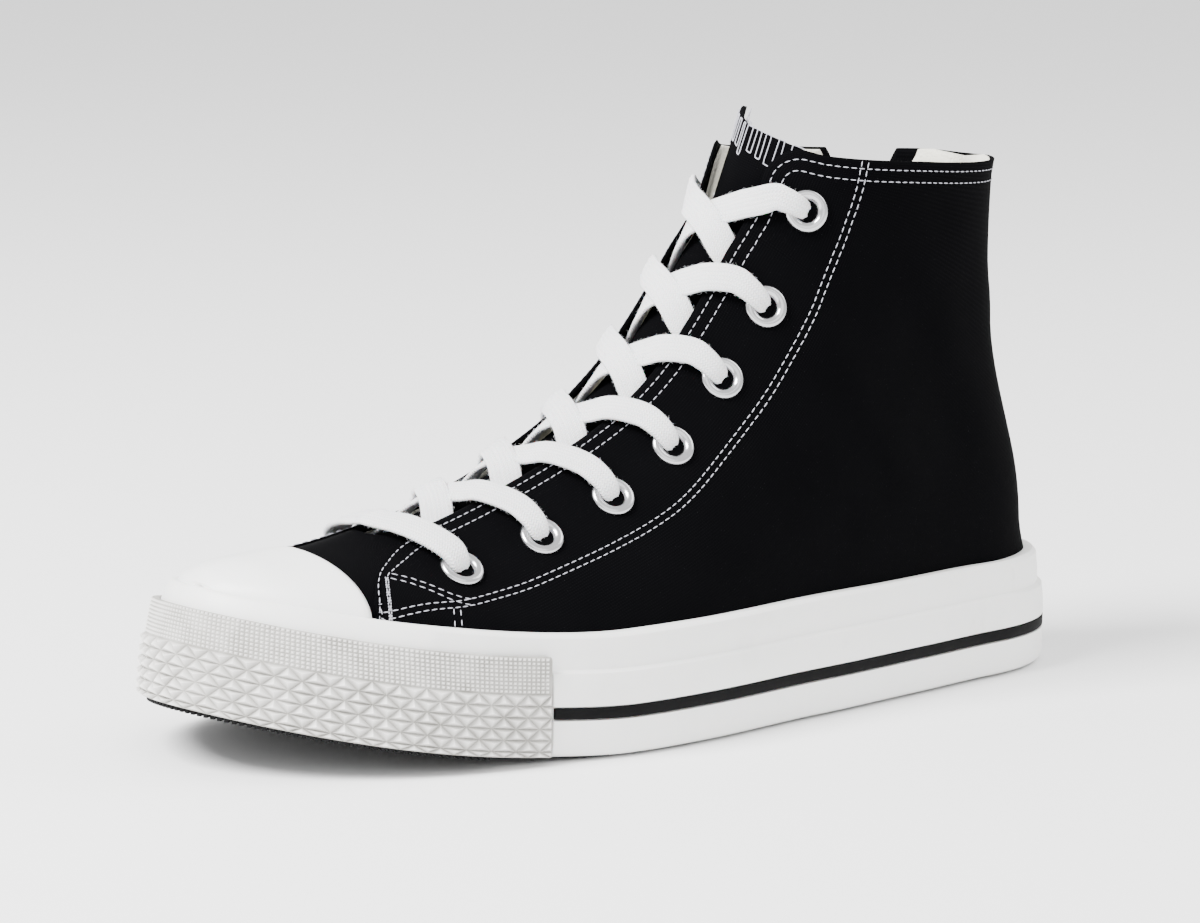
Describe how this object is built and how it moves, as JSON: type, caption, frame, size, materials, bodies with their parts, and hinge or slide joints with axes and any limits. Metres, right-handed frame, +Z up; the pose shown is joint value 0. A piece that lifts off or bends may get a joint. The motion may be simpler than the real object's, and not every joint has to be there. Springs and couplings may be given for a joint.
{
  "type": "high top sneaker",
  "caption": "Left canvas high top sneaker with laces, rubber toe cap, toe bumper and foxing, and an inner side zip.",
  "frame": {"origin": "centre of the shoe's box at floor level, under the waist of the sole", "axes": "+X toward the toe, +Y toward the outer side of the left foot, +Z up"},
  "size_m": [0.2762, 0.104, 0.1505],
  "materials": {
    "canvas": "black cotton canvas",
    "cap_rubber": "smooth white rubber",
    "foxing_rubber": "smooth white rubber",
    "bumper_rubber": "off white moulded rubber",
    "stripe_rubber": "black rubber",
    "tread_rubber": "dark moulded rubber",
    "lining_cotton": "cream cotton",
    "lace_cotton": "white flat braided cotton",
    "eyelet_metal": "satin nickel",
    "zip_tape": "black zip tape",
    "zip_metal": "dark nickel"
  },
  "bodies": {
    "shoe": {"upper": "canvas", "toe_cap": "cap_rubber", "heel_stay": "canvas", "tongue": "canvas", "foxing": "foxing_rubber", "toe_bumper": "bumper_rubber", "pinstripe": "stripe_rubber", "outsole": "tread_rubber", "insole": "lining_cotton", "lace_bar": "lace_cotton", "zip_tape": "zip_tape", "zip_slider": "zip_metal", "eyelet_outer_1": "eyelet_metal", "eyelet_outer_2": "eyelet_metal", "eyelet_outer_3": "eyelet_metal", "eyelet_outer_4": "eyelet_metal", "eyelet_outer_5": "eyelet_metal", "eyelet_outer_6": "eyelet_metal", "eyelet_outer_7": "eyelet_metal", "eyelet_inner_1": "eyelet_metal", "eyelet_inner_2": "eyelet_metal", "eyelet_inner_3": "eyelet_metal", "eyelet_inner_4": "eyelet_metal", "eyelet_inner_5": "eyelet_metal", "eyelet_inner_6": "eyelet_metal", "eyelet_inner_7": "eyelet_metal", "lace_cross_1": "lace_cotton", "lace_cross_2": "lace_cotton", "lace_cross_3": "lace_cotton", "lace_cross_4": "lace_cotton", "lace_cross_5": "lace_cotton", "lace_cross_6": "lace_cotton"},
    "pull_tab": {"zip_pull": "zip_metal"}
  },
  "joints": [
    {"name": "pull_swing", "type": "hinge", "parent": "shoe", "child": "pull_tab", "pos_m": [-0.10119, -0.02698, 0.11682], "axis": [-0.9336, 0.3579, 0.0152], "range_deg": [0, 160]}
  ]
}
